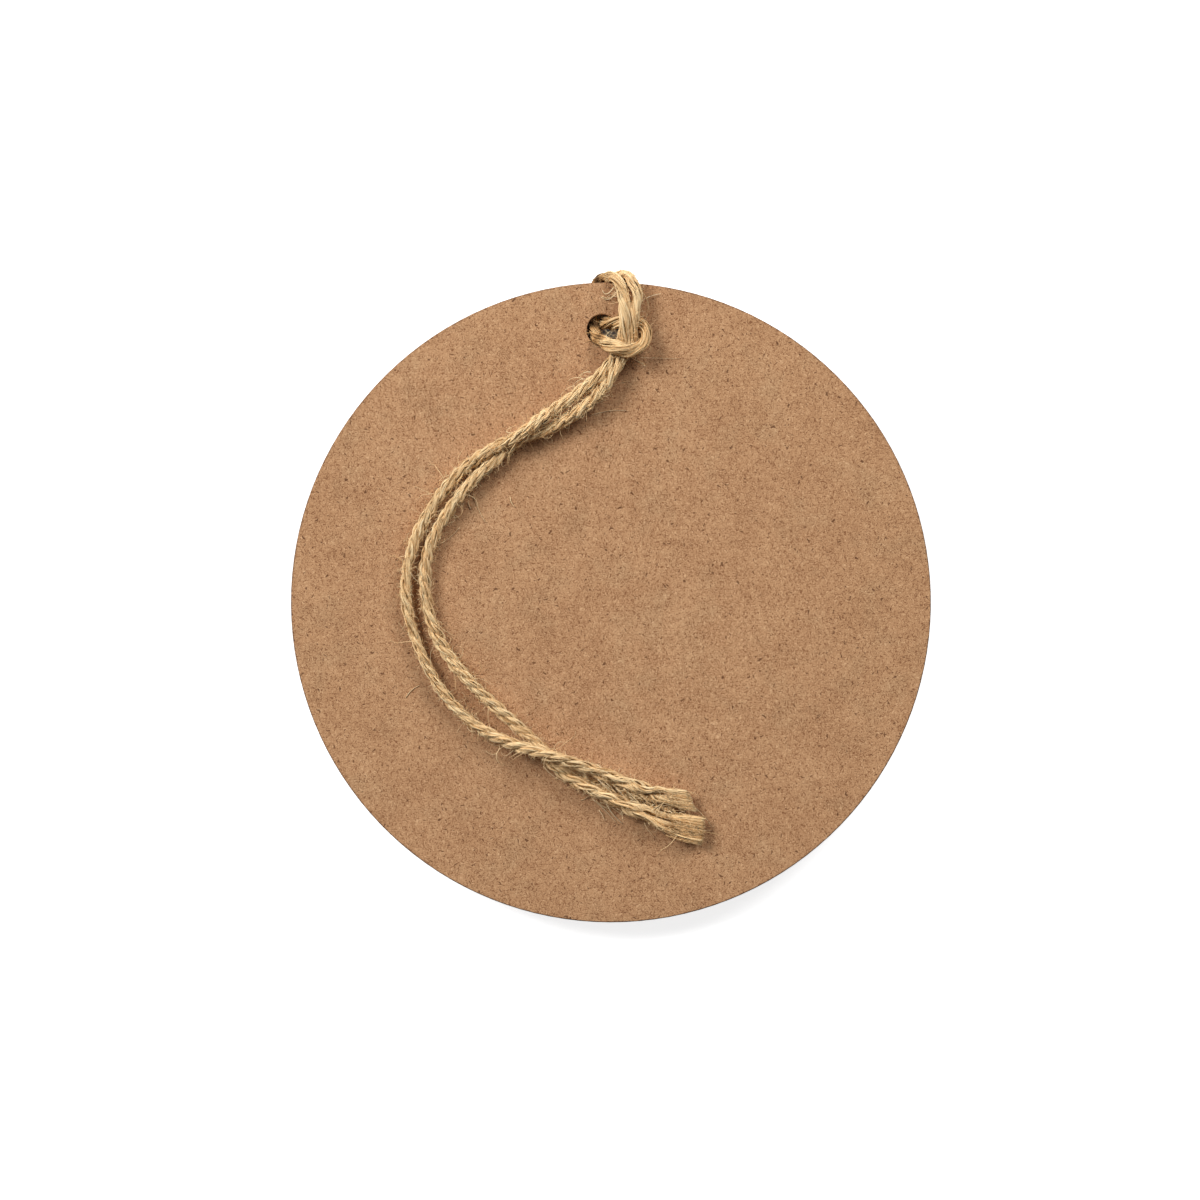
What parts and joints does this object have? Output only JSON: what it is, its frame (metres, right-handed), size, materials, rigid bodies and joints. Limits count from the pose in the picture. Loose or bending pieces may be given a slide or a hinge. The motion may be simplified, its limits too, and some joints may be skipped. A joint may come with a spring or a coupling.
{
  "type": "gift tag",
  "caption": "Round raw fibreboard gift tag with a hole near its rim and jute twine tied through it in a girth hitch, its two free tails lying on the front face.",
  "frame": {"origin": "centre of the round board, at half its thickness", "axes": "+Z out of the front face, on which the tails lie; +Y from the centre to the hole"},
  "size_m": [0.1, 0.1022, 0.0096],
  "materials": {
    "fibreboard": "matte",
    "jute": "matte"
  },
  "bodies": {
    "tag": {"tag_disc": "fibreboard", "twine_hitch": "jute"},
    "tails": {"tail_outer": "jute", "tail_inner": "jute"}
  },
  "joints": [
    {"name": "tails_lift", "type": "hinge", "parent": "tag", "child": "tails", "pos_m": [0.0033, 0.0394, 0.0051], "axis": [-1, 0, 0], "range_deg": [0, 180]}
  ]
}
